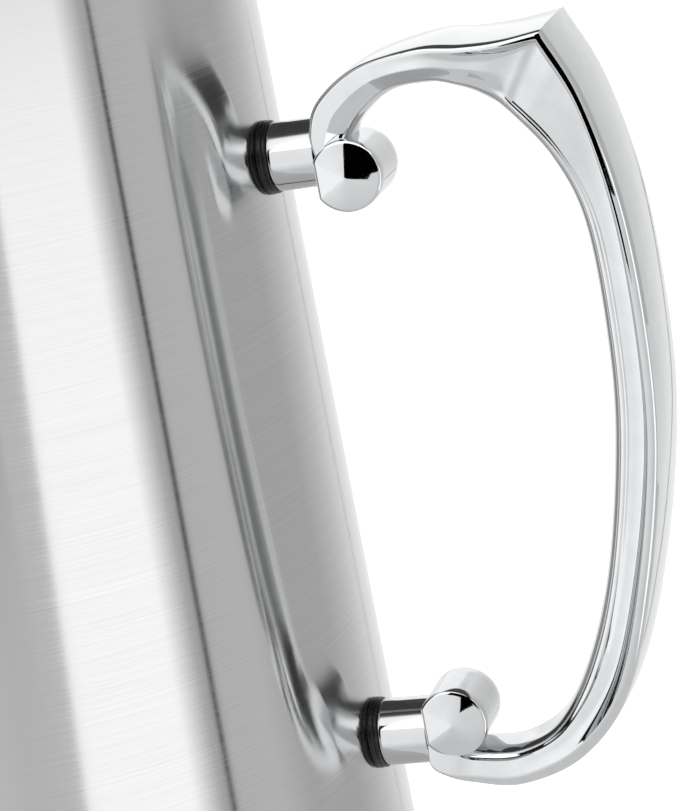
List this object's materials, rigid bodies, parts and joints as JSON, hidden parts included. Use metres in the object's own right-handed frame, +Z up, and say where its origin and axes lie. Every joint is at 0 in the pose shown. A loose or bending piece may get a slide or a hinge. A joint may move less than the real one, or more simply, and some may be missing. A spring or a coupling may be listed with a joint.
{
  "type": "tankard",
  "caption": "Tapered double-walled steel tankard, brushed outside, with a polished cast C handle that has a thumb peak and scroll ends and stands off the wall on round posts.",
  "frame": {"origin": "on the vessel's axis, on the plane it rests on", "axes": "+Z up along the vessel's axis, +X from the axis towards the handle, +Y square to both"},
  "size_m": [0.1377, 0.1002, 0.145],
  "materials": {
    "brushed_steel": "brushed round the vessel",
    "satin_steel": "satin drawn steel",
    "chrome": "mirror polished plating",
    "black_rubber": "moulded, slightly shiny",
    "zinc_steel": "bright zinc plating"
  },
  "bodies": {
    "root": {"outer_shell": "brushed_steel", "inner_liner": "satin_steel", "base_plate": "satin_steel", "base_pad": "black_rubber", "handle_casting": "chrome", "upper_post": "chrome", "lower_post": "chrome", "upper_gasket": "black_rubber", "lower_gasket": "black_rubber", "upper_backing_plate": "zinc_steel", "lower_backing_plate": "zinc_steel", "lock_washers": "zinc_steel", "handle_screws": "zinc_steel"}
  },
  "joints": []
}
